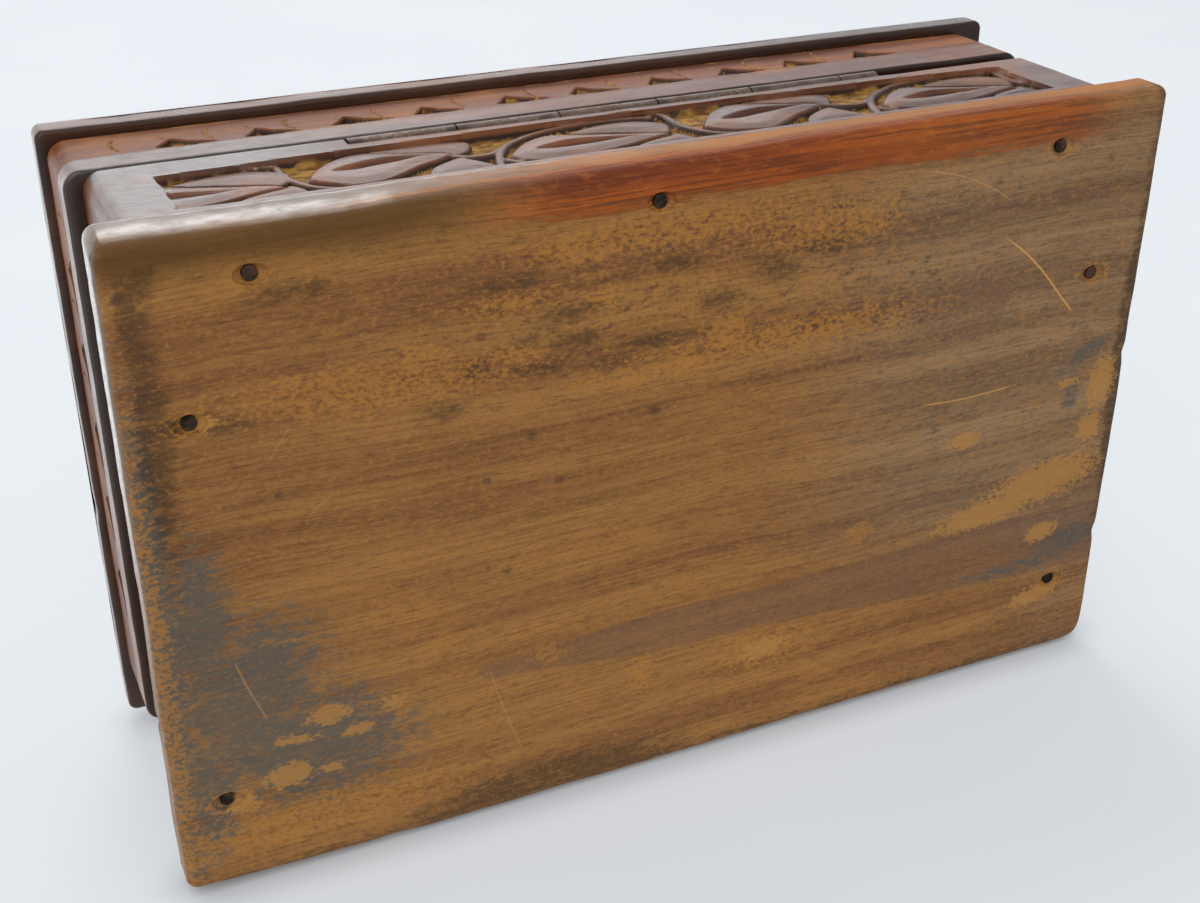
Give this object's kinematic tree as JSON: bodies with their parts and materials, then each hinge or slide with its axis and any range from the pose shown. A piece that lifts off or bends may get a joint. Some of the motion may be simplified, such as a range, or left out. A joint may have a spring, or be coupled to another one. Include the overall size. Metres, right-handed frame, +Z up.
{
  "type": "keepsake box",
  "caption": "Low rectangular carved hardwood keepsake box: leaf-carved walls on an overhanging bottom board, and a notched lid rim under an overhanging lid board on a continuous back hinge.",
  "frame": {"origin": "on the plane the box stands on, under the middle of the whole closed box", "axes": "+X to the right as seen from the front, +Y towards the back where the hinge is, +Z up"},
  "size_m": [0.2032, 0.128, 0.0642],
  "materials": {
    "sheesham_wood": "worn satin varnish",
    "hinge_steel": "tarnished",
    "nail_steel": "dulled"
  },
  "bodies": {
    "box": {"bottom_board": "sheesham_wood", "front_wall": "sheesham_wood", "right_wall": "sheesham_wood", "back_wall": "sheesham_wood", "left_wall": "sheesham_wood", "hinge_body_leaf": "hinge_steel", "hinge_pin": "hinge_steel", "hinge_body_pins": "nail_steel", "bottom_nails": "nail_steel", "wall_pins": "nail_steel"},
    "lid": {"lid_board": "sheesham_wood", "rim_front": "sheesham_wood", "rim_right": "sheesham_wood", "rim_back": "sheesham_wood", "rim_left": "sheesham_wood", "hinge_lid_leaf": "hinge_steel", "hinge_lid_pins": "nail_steel", "lid_nails": "nail_steel", "rim_pins": "nail_steel"}
  },
  "joints": [
    {"name": "lid_hinge", "type": "hinge", "parent": "box", "child": "lid", "pos_m": [-0.00215, 0.0607, 0.0341], "axis": [-1, 0, 0], "range_deg": [0, 115]}
  ]
}
